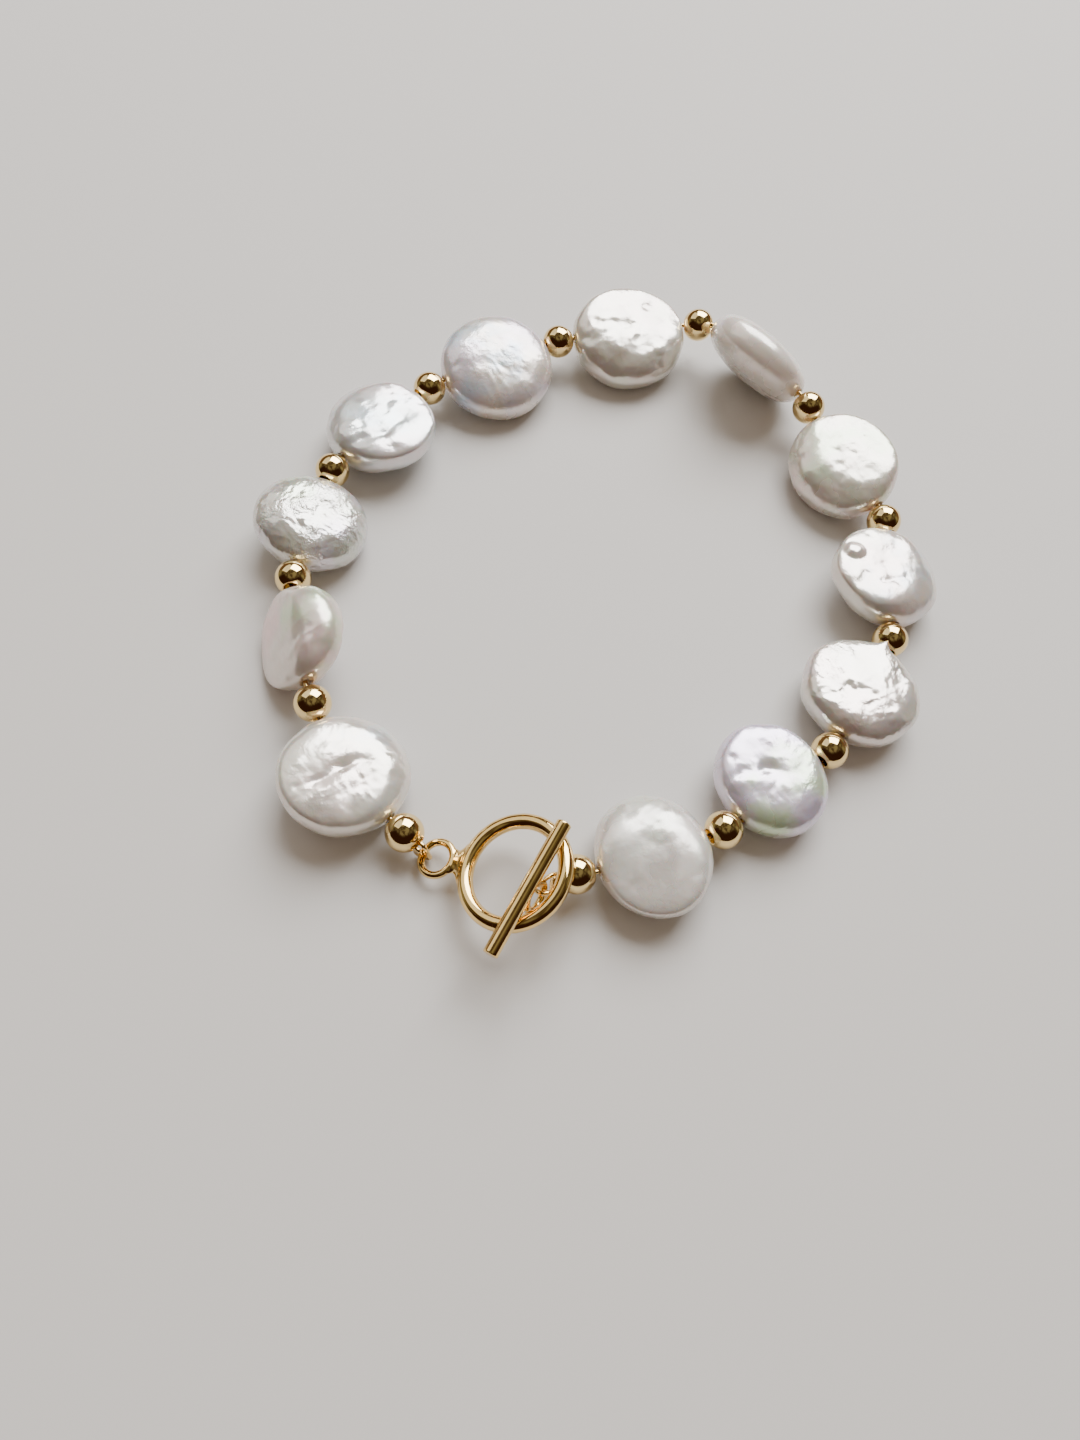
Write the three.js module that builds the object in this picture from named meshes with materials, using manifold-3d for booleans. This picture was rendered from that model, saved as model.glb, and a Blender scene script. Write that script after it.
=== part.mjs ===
// Pearl bracelet: twelve coin pearls with gold beads between them, strung on gold-coloured
// beading wire and closed with a toggle ring and bar.
// Millimetres, +Z up. It lies on the plane z = 0, seen from -Y, with the clasp at the front.

import * as THREE from 'three';
import { mergeVertices } from 'three/addons/utils/BufferGeometryUtils.js';
import Module from 'manifold-3d';

const wasm = await Module();
wasm.setup();

// Driving sizes of the string
const PEARL_DIAMETER = 10;      // a coin pearl across its face, before its own shares
const PEARL_THICKNESS = 4.5;    // a coin pearl through its middle
const PEARL_BORE = 0.8;         // drilled edge to edge, along the string
const BEAD_DIAMETER = 3;
const BEAD_BORE = 1.2;
const WIRE_DIAMETER = 0.38;     // beading wire
const STRING_GAP = 0.2;         // left between a bead and a pearl where the wire runs straight

// Driving sizes of the clasp
const RING_DIAMETER = 8.1;      // along the middle of the ring's own wire, its long way
const RING_WIRE_DIAMETER = 1.2;
const EYE_DIAMETER = 2.7;       // along the middle of the soldered eye's wire, its long way
const EYE_WIRE_DIAMETER = 0.6;
const RING_OVAL = 0.94;         // ring and eye are a little shorter from the eye to the ring
const NECK_LENGTH = 0.4;        // clear space that the neck bridges between eye and ring
const NECK_THICKNESS = 0.6;
const NECK_AT_EYE = 1.5;        // half its width at the eye, share of the eye's wire
const NECK_AT_WAIST = 1.2;      // half its width between the two, share of the eye's wire
const NECK_AT_RING = 1.3;       // half its width at the ring, share of the ring's wire
const BAR_LENGTH = 10.8;
const BAR_DIAMETER = 1.16;
const BAR_EYE_DIAMETER = 2.2;   // along the middle of the bar's own eye

// Clearances
const WIRE_CLEAR = 0.1;         // between the beading wire and the metal that it holds
const SEAT_CLEAR = 0.15;        // between clasp pieces that lie on each other
const FLOOR_CLEAR = 0.04;       // under the lowest turn of beading wire
const MOUTH_LENGTH = 0.42;      // straight wire past an end bead before it turns to its eye

// How far each way the clasp lies turned, in degrees
const CLASP_HEADING = -7.3;     // from the ring's eye to the ring, seen from above
const BAR_HEADING = -14;        // of the bar across the ring, from the ring's own Y
const BAR_EYE_SWING = 2;        // of the bar's eye towards the string, from straight down

// Where the bar crosses the ring, as shares of the ring's diameter
const BAR_ACROSS = 0.226;
const BAR_ALONG = -0.175;

// Where the ring's eye lies beside the mouth of the first bead, as shares of the eye's diameter
const EYE_AHEAD = 0.54;
const EYE_ASIDE = -0.16;

// Where the last bead's mouth lies from the ring's far side, as shares of the bead's diameter
const LAST_AHEAD = -0.133;
const LAST_ASIDE = 0.316;

// How high the two end beads hang, as shares of the bead's diameter
const FIRST_BEAD_HEIGHT = 0.72;
const LAST_BEAD_HEIGHT = 0.82;

// Mesh detail
const PEARL_SIDES = 22;
const PEARL_ROWS = 12;
const BEAD_SIDES = 14;
const BEAD_ROWS = 8;
const BORE_SIDES = 10;
const RING_STEPS = 32;
const EYE_STEPS = 18;
const WIRE_SIDES = 8;
const STRAND_SIDES = 6;
const BAR_SIDES = 14;
const HOOK_STEPS = 10;
const NECK_STEPS = 5;
const ROUTE_SAMPLES = 1600;
const WELD_DISTANCE = 1e-5;     // corners closer than this are one corner

// The route of the string on the table, from the first bead's mouth to past the last one.
// The points are chosen by hand, in parts of the loop's width; the loop's scale is worked out.
const STRING_ROUTE = [
  [0.000, 0.000],
  [-0.024, 0.014],
  [-0.178, 0.164],
  [-0.264, 0.374],
  [-0.255, 0.598],
  [-0.133, 0.798],
  [0.064, 0.942],
  [0.307, 1.019],
  [0.492, 0.865],
  [0.627, 0.659],
  [0.635, 0.440],
  [0.549, 0.243],
  [0.409, 0.097],
  [0.213, -0.006],
  [0.186, -0.012],
  [0.100, -0.029],
];

// One row for each pearl, in order along the string.
// long, wide: shares of PEARL_DIAMETER, along the string and across it. thick: share of
// PEARL_THICKNESS. out: how far the pearl's middle lies outside its bore, share of
// PEARL_DIAMETER. lean: degrees, the outer edge down. lobe: share that its outline swells by
// three times round, lobeAt: degrees. tip: share that it draws out at its first drill hole.
const PEARLS = [
  { long: 0.990, wide: 1.030, thick: 1.00, out: 0.095, lean: -11, lobe: 0.010, lobeAt: 20, tip: 0.00 },
  { long: 0.875, wide: 0.880, thick: 0.94, out: 0.020, lean: 36, lobe: 0.015, lobeAt: 80, tip: 0.00 },
  { long: 0.902, wide: 0.980, thick: 1.00, out: -0.013, lean: -12, lobe: 0.012, lobeAt: 200, tip: 0.00 },
  { long: 0.993, wide: 1.020, thick: 1.06, out: -0.015, lean: 9, lobe: 0.010, lobeAt: 140, tip: 0.00 },
  { long: 1.083, wide: 1.050, thick: 1.01, out: -0.055, lean: -14, lobe: 0.008, lobeAt: 60, tip: 0.00 },
  { long: 1.102, wide: 1.030, thick: 0.99, out: -0.065, lean: -20, lobe: 0.010, lobeAt: 310, tip: 0.00 },
  { long: 1.103, wide: 0.960, thick: 1.00, out: 0.000, lean: 54, lobe: 0.012, lobeAt: 30, tip: 0.00 },
  { long: 1.055, wide: 0.960, thick: 1.00, out: -0.045, lean: -22, lobe: 0.010, lobeAt: 100, tip: 0.00 },
  { long: 0.938, wide: 0.995, thick: 1.01, out: -0.072, lean: 16, lobe: 0.012, lobeAt: 250, tip: 0.00 },
  { long: 0.914, wide: 1.000, thick: 1.01, out: -0.042, lean: 3, lobe: 0.014, lobeAt: 0, tip: 0.045 },
  { long: 0.868, wide: 0.960, thick: 0.99, out: -0.115, lean: 6, lobe: 0.014, lobeAt: 170, tip: 0.00 },
  { long: 0.890, wide: 1.000, thick: 0.97, out: 0.002, lean: -6, lobe: 0.010, lobeAt: 290, tip: 0.00 },
];

const PEARL_ROUNDNESS = 2.5;    // power of the pearl's section: 2 is an ellipse, more is squarer
const LOBES = 3;                // swellings round a pearl's outline
const TIP_SPREAD = 18;          // degrees round the outline that a drawn-out tip takes up
const TIP_FADE = 4;             // power by which the tip fades from the edge to the faces
const TAIL_SHARE = 0.4;         // how far into an end bead the wire's tail runs
const PITCH_SHARE = 0.35;       // how much of the string's slope each pearl follows
const LOOP_NARROWEST = 0.2;     // the loop's width lies between these shares of its length
const LOOP_WIDEST = 0.5;
const LOOP_HALVINGS = 50;       // steps in which that width is found

const radians = THREE.MathUtils.degToRad;

// Materials: one for each node, so each has its own finish
function pearlFinish() {
  return new THREE.MeshStandardMaterial({ color: 0xe9e4dc, roughness: 0.28, metalness: 0.0 });
}

function goldFinish() {
  return new THREE.MeshStandardMaterial({ color: 0xe2bd7d, roughness: 0.14, metalness: 1.0 });
}

// Closed geometry with shared vertices, and back from a solid

function welded(geometry) {
  geometry.deleteAttribute('normal');
  geometry.deleteAttribute('uv');
  return mergeVertices(geometry, WELD_DISTANCE);
}

function solidOf(geometry) {
  const closed = welded(geometry);
  const vertProperties = Float32Array.from(closed.attributes.position.array);
  const triVerts = Uint32Array.from(closed.index.array);
  return new wasm.Manifold(new wasm.Mesh({ numProp: 3, vertProperties, triVerts }));
}

function geometryOf(solid) {
  const mesh = solid.getMesh();
  const geometry = new THREE.BufferGeometry();
  geometry.setAttribute('position', new THREE.BufferAttribute(mesh.vertProperties, 3));
  geometry.setIndex(new THREE.BufferAttribute(mesh.triVerts, 1));
  return geometry;
}

// A coin pearl about its own bore, which runs along X. Y is across the face, Z through it.
function pearlGeometry(row) {
  const halfLong = row.long * PEARL_DIAMETER / 2;
  const halfWide = row.wide * PEARL_DIAMETER / 2;
  const halfThick = row.thick * PEARL_THICKNESS / 2;
  const shift = row.out * PEARL_DIAMETER;
  const geometry = new THREE.SphereGeometry(1, PEARL_SIDES, PEARL_ROWS);
  geometry.rotateX(Math.PI / 2);
  const position = geometry.attributes.position;
  for (let i = 0; i < position.count; i += 1) {
    const x = position.getX(i);
    const y = position.getY(i);
    const z = position.getZ(i);
    const round = Math.hypot(x, y);
    const turn = Math.atan2(y, x);
    const fromFirst = Math.atan2(y, -x);
    const power = round ** PEARL_ROUNDNESS + Math.abs(z) ** PEARL_ROUNDNESS;
    const square = power ** (-1 / PEARL_ROUNDNESS);
    const swell = 1 + row.lobe * Math.cos(LOBES * turn - radians(row.lobeAt));
    const near = Math.exp(-((fromFirst / radians(TIP_SPREAD)) ** 2));
    const drawn = row.tip * near * round ** TIP_FADE;
    const rim = square * (swell + drawn);
    position.setXYZ(i, x * rim * halfLong, y * rim * halfWide, z * square * halfThick);
  }
  const reach = endReach(row);
  geometry.translate((reach.back - reach.ahead) / 2, shift, 0);
  const bore = new THREE.CylinderGeometry(
    PEARL_BORE / 2, PEARL_BORE / 2, PEARL_DIAMETER * 2, BORE_SIDES);
  bore.rotateZ(Math.PI / 2);
  return geometryOf(solidOf(geometry).subtract(solidOf(bore)));
}

// How far the outline reaches from the pearl's own middle, back and ahead along its bore
function endReach(row) {
  const half = row.long * PEARL_DIAMETER / 2;
  const aside = 2 * row.out / row.wide;
  const short = Math.sqrt(1 - aside ** 2);
  return {
    back: half * short * (1 - row.lobe * Math.cos(radians(row.lobeAt)) + row.tip),
    ahead: half * short * (1 + row.lobe * Math.cos(radians(row.lobeAt))),
  };
}

// The stretch of wire that a pearl covers
function pearlStretch(row) {
  const reach = endReach(row);
  return reach.back + reach.ahead;
}

// A round bead turned about its bore, which runs along X
function beadGeometry() {
  const outer = BEAD_DIAMETER / 2;
  const inner = BEAD_BORE / 2;
  const start = Math.asin(inner / outer);
  const profile = [];
  for (let i = 0; i <= BEAD_ROWS; i += 1) {
    const turn = start + (Math.PI - 2 * start) * i / BEAD_ROWS;
    profile.push(new THREE.Vector2(outer * Math.sin(turn), -outer * Math.cos(turn)));
  }
  profile.push(profile[0].clone());
  const geometry = new THREE.LatheGeometry(profile, BEAD_SIDES);
  geometry.rotateZ(-Math.PI / 2);
  return welded(geometry);
}

function beadStretch() {
  return Math.sqrt(BEAD_DIAMETER ** 2 - BEAD_BORE ** 2);
}

// The pieces in order along the wire: bead, pearl, bead ... bead
const pieces = [{ kind: 'bead', stretch: beadStretch() }];
for (const row of PEARLS) {
  pieces.push({ kind: 'pearl', stretch: pearlStretch(row), row, geometry: pearlGeometry(row) });
  pieces.push({ kind: 'bead', stretch: beadStretch() });
}
const beadShape = beadGeometry();

// Heights. Each pearl lies on the table by its own lowest point; the beads hang between.

function lowestPoint(geometry, lean, pitch) {
  const turned = geometry.clone();
  turned.rotateX(-radians(lean));
  turned.rotateY(-pitch);
  turned.computeBoundingBox();
  return -turned.boundingBox.min.z;
}

const pearls = pieces.filter((piece) => piece.kind === 'pearl');
for (const pearl of pearls) {
  pearl.height = lowestPoint(pearl.geometry, pearl.row.lean, 0);
}
for (let i = 0; i < pearls.length; i += 1) {
  const before = i > 0 ? pearls[i - 1].height : FIRST_BEAD_HEIGHT * BEAD_DIAMETER;
  const after = i < pearls.length - 1 ? pearls[i + 1].height : LAST_BEAD_HEIGHT * BEAD_DIAMETER;
  const run = 2 * (pearls[i].stretch + BEAD_DIAMETER);
  pearls[i].pitch = Math.atan(PITCH_SHARE * (after - before) / run);
}
for (const pearl of pearls) {
  pearl.height = lowestPoint(pearl.geometry, pearl.row.lean, pearl.pitch);
}

// Each end of a piece is given half of the gap there, so the gaps list has one more entry than
// the pieces. Sets each piece's whole stretch of wire, its ends' heights and its level span.
function measurePieces(gaps) {
  pieces.forEach((piece, i) => {
    piece.lead = (gaps[i] + piece.stretch) / 2;
    piece.whole = piece.stretch + (gaps[i] + gaps[i + 1]) / 2;
  });
  for (const pearl of pearls) {
    pearl.from = pearl.height - Math.sin(pearl.pitch) * pearl.lead;
    pearl.to = pearl.height + Math.sin(pearl.pitch) * (pearl.whole - pearl.lead);
  }
  pieces.forEach((piece, i) => {
    if (piece.kind === 'bead') {
      const first = i === 0;
      const last = i === pieces.length - 1;
      piece.from = first ? FIRST_BEAD_HEIGHT * BEAD_DIAMETER : pieces[i - 1].to;
      piece.to = last ? LAST_BEAD_HEIGHT * BEAD_DIAMETER : pieces[i + 1].from;
    }
  });
  for (const piece of pieces) {
    piece.span = Math.sqrt(piece.whole ** 2 - (piece.to - piece.from) ** 2);
  }
}

// The pieces are walked along the route as chords. Returns the points where they meet.
function walk(scale) {
  const points = routePoints.map((point) => point.clone().multiplyScalar(scale));
  const meets = [points[0].clone()];
  let at = 0;
  for (const piece of pieces) {
    const start = meets[meets.length - 1];
    while (at < points.length - 1 && points[at].distanceTo(start) < piece.span) {
      at += 1;
    }
    const away = points[at].clone().sub(start);
    meets.push(start.clone().add(away.setLength(piece.span)));
  }
  return meets;
}

// The loop's scale is found by halving, so that its two ends lie as far apart as the clasp
// needs. The string is then turned until its last point lies where the clasp wants it.
function closeLoop(lastMouth) {
  const chainLength = pieces.reduce((sum, piece) => sum + piece.span, 0);
  let small = chainLength * LOOP_NARROWEST;
  let large = chainLength * LOOP_WIDEST;
  for (let i = 0; i < LOOP_HALVINGS; i += 1) {
    const scale = (small + large) / 2;
    const meets = walk(scale);
    if (meets[meets.length - 1].distanceTo(meets[0]) > lastMouth.length()) {
      large = scale;
    } else {
      small = scale;
    }
  }
  const meets = walk((small + large) / 2);
  const end = meets[meets.length - 1];
  const turn = Math.atan2(lastMouth.y, lastMouth.x) - Math.atan2(end.y, end.x);
  return meets.map((point, i) => {
    const height = i < pieces.length ? pieces[i].from : pieces[i - 1].to;
    return point.applyAxisAngle(new THREE.Vector3(0, 0, 1), turn).setZ(height);
  });
}

// Where the wire bends, a bead's round side turns towards the pearl and needs a wider gap
function gapsAtBends(meets) {
  return meets.map((point, i) => {
    if (i === 0 || i === pieces.length) {
      return STRING_GAP;
    }
    const before = point.clone().sub(meets[i - 1]);
    const after = meets[i + 1].clone().sub(point);
    const bend = before.angleTo(after);
    return STRING_GAP + BEAD_DIAMETER / 2 * (1 - Math.cos(bend));
  });
}

// Clasp lengths that the loop has to close over

const ringHalf = RING_OVAL * RING_DIAMETER / 2;
const eyeHalf = RING_OVAL * EYE_DIAMETER / 2;
const eyeToRing = eyeHalf + EYE_WIRE_DIAMETER / 2 + NECK_LENGTH + RING_WIRE_DIAMETER / 2 + ringHalf;
const hookRadius = EYE_WIRE_DIAMETER / 2 + WIRE_CLEAR + WIRE_DIAMETER / 2;

// The ring's eye is held up by the turn of beading wire under it, and the far side of the ring
// lies on the last bead, so the whole clasp leans by this angle.
const eyeEndHeight = FLOOR_CLEAR + WIRE_DIAMETER / 2 + hookRadius;
const ringOverBead = (BEAD_DIAMETER + RING_WIRE_DIAMETER) / 2 + SEAT_CLEAR;
const ringFarHeight = LAST_BEAD_HEIGHT * BEAD_DIAMETER + ringOverBead;
const claspReach = eyeHalf + eyeToRing + ringHalf;
const claspTilt = Math.asin((ringFarHeight - eyeEndHeight) / claspReach);

// The clasp's own frame: X from the eye to the ring in the ring's plane, Z square to the plane
const claspTurn = new THREE.Matrix4().makeRotationZ(radians(CLASP_HEADING));
claspTurn.multiply(new THREE.Matrix4().makeRotationY(-claspTilt));

const eyeMiddle = new THREE.Vector3(
  EYE_AHEAD * EYE_DIAMETER,
  EYE_ASIDE * EYE_DIAMETER,
  eyeEndHeight + Math.sin(claspTilt) * eyeHalf);
const claspPlace = new THREE.Matrix4().makeTranslation(eyeMiddle).multiply(claspTurn);

// The last bead lies under the far side of the ring
const ringFarSide = new THREE.Vector3(eyeToRing + ringHalf, 0, 0).applyMatrix4(claspPlace);
const lastMouth = new THREE.Vector2(
  ringFarSide.x + LAST_AHEAD * BEAD_DIAMETER,
  ringFarSide.y + LAST_ASIDE * BEAD_DIAMETER);

// The string is laid out once with even gaps, then again with the gaps that its bends need
const routeCurve = new THREE.CatmullRomCurve3(
  STRING_ROUTE.map(([x, y]) => new THREE.Vector3(x, y, 0)), false, 'centripetal');
const routePoints = routeCurve.getPoints(ROUTE_SAMPLES);
measurePieces(new Array(pieces.length + 1).fill(STRING_GAP));
measurePieces(gapsAtBends(closeLoop(lastMouth)));
const mouths = closeLoop(lastMouth);

// A ring of round wire, a little shorter along X than along Y
function ovalRing(diameter, wire, steps) {
  const geometry = new THREE.TorusGeometry(diameter / 2, wire / 2, WIRE_SIDES, steps);
  const position = geometry.attributes.position;
  const shorter = (1 - RING_OVAL) * diameter / 2;
  for (let i = 0; i < position.count; i += 1) {
    const turn = Math.atan2(position.getY(i), position.getX(i));
    position.setX(i, position.getX(i) - shorter * Math.cos(turn));
  }
  return geometry;
}

// The toggle ring, its soldered eye and the neck between them, in the clasp's own frame
function toggleRingGeometry() {
  const ring = ovalRing(RING_DIAMETER, RING_WIRE_DIAMETER, RING_STEPS);
  ring.translate(eyeToRing, 0, 0);
  const eye = ovalRing(EYE_DIAMETER, EYE_WIRE_DIAMETER, EYE_STEPS);
  const near = eyeHalf;
  const far = eyeToRing - ringHalf;
  const atEye = NECK_AT_EYE * EYE_WIRE_DIAMETER;
  const atWaist = NECK_AT_WAIST * EYE_WIRE_DIAMETER;
  const atRing = NECK_AT_RING * RING_WIRE_DIAMETER;
  const outline = new THREE.Shape();
  outline.moveTo(near, -atEye);
  outline.quadraticCurveTo((near + far) / 2, -atWaist, far, -atRing);
  outline.lineTo(far, atRing);
  outline.quadraticCurveTo((near + far) / 2, atWaist, near, atEye);
  const neck = new THREE.ExtrudeGeometry(
    outline, { depth: NECK_THICKNESS, bevelEnabled: false, curveSegments: NECK_STEPS });
  neck.translate(0, 0, -NECK_THICKNESS / 2);
  return geometryOf(solidOf(ring).add(solidOf(eye)).add(solidOf(neck)));
}

// The toggle bar along its own Y, with its eye hanging below it
function toggleBarGeometry() {
  const bar = new THREE.CylinderGeometry(BAR_DIAMETER / 2, BAR_DIAMETER / 2, BAR_LENGTH, BAR_SIDES);
  const eye = new THREE.TorusGeometry(BAR_EYE_DIAMETER / 2, EYE_WIRE_DIAMETER / 2, WIRE_SIDES, EYE_STEPS);
  eye.rotateY(Math.PI / 2);
  eye.translate(0, 0, -barEyeDrop);
  eye.rotateY(-radians(BAR_EYE_SWING));
  return geometryOf(solidOf(bar).add(solidOf(eye)));
}

// The bar lies across the top of the ring
const barEyeDrop = (BAR_DIAMETER + BAR_EYE_DIAMETER) / 2;
const barPlace = claspPlace.clone();
barPlace.multiply(new THREE.Matrix4().makeTranslation(
  eyeToRing + BAR_ACROSS * RING_DIAMETER,
  BAR_ALONG * RING_DIAMETER,
  (RING_WIRE_DIAMETER + BAR_DIAMETER) / 2 + SEAT_CLEAR));
barPlace.multiply(new THREE.Matrix4().makeRotationZ(radians(BAR_HEADING)));

const barEyePlace = barPlace.clone();
barEyePlace.multiply(new THREE.Matrix4().makeRotationY(-radians(BAR_EYE_SWING)));
barEyePlace.multiply(new THREE.Matrix4().makeTranslation(0, 0, -barEyeDrop));

// The turn of beading wire round an eye's own wire, open towards the given mouth. The eye is a
// ring of the given radius about the given middle, square to the given normal.
function hook(mouth, middle, normal, eyeRadius) {
  const towards = mouth.clone().sub(middle).projectOnPlane(normal).normalize();
  const held = middle.clone().addScaledVector(towards, eyeRadius);
  const along = new THREE.Vector3().crossVectors(normal, towards).normalize();
  const out = mouth.clone().sub(held);
  const reach = out.length();
  out.normalize();
  const side = new THREE.Vector3().crossVectors(along, out).normalize();
  const leave = Math.acos(Math.min(1, hookRadius / reach));
  const points = [];
  for (let i = 0; i <= HOOK_STEPS; i += 1) {
    const turn = leave + (2 * Math.PI - 2 * leave) * i / HOOK_STEPS;
    points.push(held.clone()
      .addScaledVector(out, hookRadius * Math.cos(turn))
      .addScaledVector(side, hookRadius * Math.sin(turn)));
  }
  return { points, side };
}

// A path that takes one step from each of its points to the next
class StepPath extends THREE.Curve {
  constructor(points) {
    super();
    this.points = points;
  }

  getPoint(share, target = new THREE.Vector3()) {
    const place = share * (this.points.length - 1);
    const i = Math.min(Math.floor(place), this.points.length - 2);
    return target.lerpVectors(this.points[i], this.points[i + 1], place - i);
  }

  getPointAt(share, target) {
    return this.getPoint(share, target);
  }

  getTangentAt(share, target = new THREE.Vector3()) {
    const last = this.points.length - 1;
    const i = Math.round(share * last);
    const before = this.points[i].clone().sub(this.points[Math.max(i - 1, 0)]).normalize();
    const after = this.points[Math.min(i + 1, last)].clone().sub(this.points[i]).normalize();
    return target.copy(before).add(after).normalize();
  }
}

// The two strands lie side by side in an end bead's bore: the string itself and its short tail.
function strandPair(mouth, inner, side) {
  const axis = inner.clone().sub(mouth).normalize();
  const across = side.clone().projectOnPlane(axis).normalize();
  const apart = (WIRE_DIAMETER + WIRE_CLEAR) / 2;
  const strand = (end, shift) => end.clone().addScaledVector(across, shift);
  const inside = mouth.clone().lerp(inner, TAIL_SHARE);
  const outside = mouth.clone().addScaledVector(axis, -MOUTH_LENGTH);
  return {
    tail: [strand(inside, -apart), strand(outside, -apart)],
    string: [strand(outside, apart), strand(inside, apart), inner.clone()],
  };
}

// The point past an end bead where the wire turns to its eye
function turningPoint(mouth, inner) {
  return mouth.clone().addScaledVector(mouth.clone().sub(inner).normalize(), MOUTH_LENGTH);
}

function beadingWireGeometry() {
  const ringNormal = new THREE.Vector3(0, 0, 1).transformDirection(claspPlace);
  const barNormal = new THREE.Vector3(1, 0, 0).transformDirection(barEyePlace);
  const barEyeMiddle = new THREE.Vector3().applyMatrix4(barEyePlace);
  const lastAt = mouths.length - 1;
  const firstTurn = turningPoint(mouths[0], mouths[1]);
  const lastTurn = turningPoint(mouths[lastAt], mouths[lastAt - 1]);
  const first = hook(firstTurn, eyeMiddle, ringNormal, eyeHalf);
  const last = hook(lastTurn, barEyeMiddle, barNormal, BAR_EYE_DIAMETER / 2);
  const firstPair = strandPair(mouths[0], mouths[1], first.side);
  const lastPair = strandPair(mouths[lastAt], mouths[lastAt - 1], last.side);
  const points = [
    ...firstPair.tail,
    ...first.points.slice().reverse(),
    ...firstPair.string,
    ...mouths.slice(2, lastAt - 1),
    ...lastPair.string.slice().reverse(),
    ...last.points,
    ...lastPair.tail.slice().reverse(),
  ];
  const section = new THREE.Shape();
  for (let i = 0; i < STRAND_SIDES; i += 1) {
    const turn = 2 * Math.PI * i / STRAND_SIDES;
    const x = WIRE_DIAMETER / 2 * Math.cos(turn);
    const y = WIRE_DIAMETER / 2 * Math.sin(turn);
    if (i === 0) {
      section.moveTo(x, y);
    } else {
      section.lineTo(x, y);
    }
  }
  return new THREE.ExtrudeGeometry(
    section, { steps: points.length - 1, extrudePath: new StepPath(points), bevelEnabled: false });
}

// The whole bracelet

const bracelet = new THREE.Group();

function add(name, geometry, material) {
  const mesh = new THREE.Mesh(geometry, material);
  mesh.name = name;
  bracelet.add(mesh);
  return mesh;
}

function numbered(name, number) {
  return `${name}_${String(number).padStart(2, '0')}`;
}

let pearlCount = 0;
let beadCount = 0;
pieces.forEach((piece, i) => {
  const from = mouths[i];
  const to = mouths[i + 1];
  let mesh;
  if (piece.kind === 'pearl') {
    pearlCount += 1;
    mesh = add(numbered('pearl', pearlCount), piece.geometry, pearlFinish());
  } else {
    beadCount += 1;
    mesh = add(numbered('bead', beadCount), beadShape.clone(), goldFinish());
  }
  const lean = piece.kind === 'pearl' ? piece.row.lean : 0;
  const heading = Math.atan2(to.y - from.y, to.x - from.x);
  const pitch = Math.asin((to.z - from.z) / from.distanceTo(to));
  mesh.rotation.set(-radians(lean), -pitch, heading, 'ZYX');
  mesh.position.lerpVectors(from, to, piece.lead / piece.whole);
});

const toggleRing = add('toggle_ring', toggleRingGeometry(), goldFinish());
toggleRing.applyMatrix4(claspPlace);
const toggleBar = add('toggle_bar', toggleBarGeometry(), goldFinish());
toggleBar.applyMatrix4(barPlace);
add('beading_wire', beadingWireGeometry(), goldFinish());

// The origin is under the middle of the whole, on the table
const box = new THREE.Box3().setFromObject(bracelet, true);
const middle = box.getCenter(new THREE.Vector3());
bracelet.position.set(-middle.x, -middle.y, -box.min.z);

export default bracelet;
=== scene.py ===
# %% [markdown]
# # A pearl bracelet, closed with a toggle
# Twelve coin pearls and thirteen small gold beads sit on one strand of beading wire. A toggle ring
# and bar close it. Exact lengths were drawn earlier as a plain solid model, one solid for each
# piece. In this lesson each plain solid is measured and replaced by a finely shaped one.

import math

import bpy
import numpy as np
from mathutils import Matrix, Vector, noise


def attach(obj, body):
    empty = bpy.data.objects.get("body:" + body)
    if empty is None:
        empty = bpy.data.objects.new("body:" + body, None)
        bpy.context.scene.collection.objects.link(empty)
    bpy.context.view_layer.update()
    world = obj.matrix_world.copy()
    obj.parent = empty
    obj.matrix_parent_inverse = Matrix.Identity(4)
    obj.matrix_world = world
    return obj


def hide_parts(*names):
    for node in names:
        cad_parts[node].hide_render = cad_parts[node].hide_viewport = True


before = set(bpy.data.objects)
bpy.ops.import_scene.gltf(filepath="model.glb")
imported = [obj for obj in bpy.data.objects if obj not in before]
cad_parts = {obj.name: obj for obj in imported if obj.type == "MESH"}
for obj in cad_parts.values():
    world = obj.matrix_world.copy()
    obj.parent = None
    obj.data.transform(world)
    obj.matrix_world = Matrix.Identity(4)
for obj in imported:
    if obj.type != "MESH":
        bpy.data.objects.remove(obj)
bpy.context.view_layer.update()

MM = 0.001
PEARL_COUNT = 12
BEAD_COUNT = PEARL_COUNT + 1
print("pieces in the plain model:", len(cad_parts))

# %% [markdown]
# ## Measuring the plain model
# Every fine piece has to sit exactly where its plain solid sits. The corner points of a solid
# tell its middle and, through their spread, its own three directions. The spread is worked out
# with the eigenvectors of a 3 by 3 table, which is an easy way to find how any piece is turned.

# %% Measuring helpers
CORNER_DIGITS = 7
SHORTEST, LONGEST = 0, 2
UP = np.array([0, 0, 1.0])
AWAY = np.array([0, 1.0, 0])


def corners(node):
    """Corner points of a plain solid in metres, each of them once."""
    points = np.array([v.co[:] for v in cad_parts[node].data.vertices])
    return np.unique(np.round(points, CORNER_DIGITS), axis=0)


def spread_axes(points):
    """Directions of the spread, from the shortest to the longest."""
    off = points - points.mean(axis=0)
    return np.linalg.eigh(off.T @ off / len(off))[1].T


def turned_to(axis, towards):
    """The axis, or its opposite where that points more the wanted way."""
    return axis if np.dot(axis, towards) > 0 else -axis


def unit(v):
    return v / np.linalg.norm(v)


def place(x, y, z, middle):
    """A matrix with these three directions and this middle."""
    m = Matrix.Identity(4)
    for column, direction in enumerate((x, y, z, middle)):
        for row in range(3):
            m[row][column] = direction[row]
    return m


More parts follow.
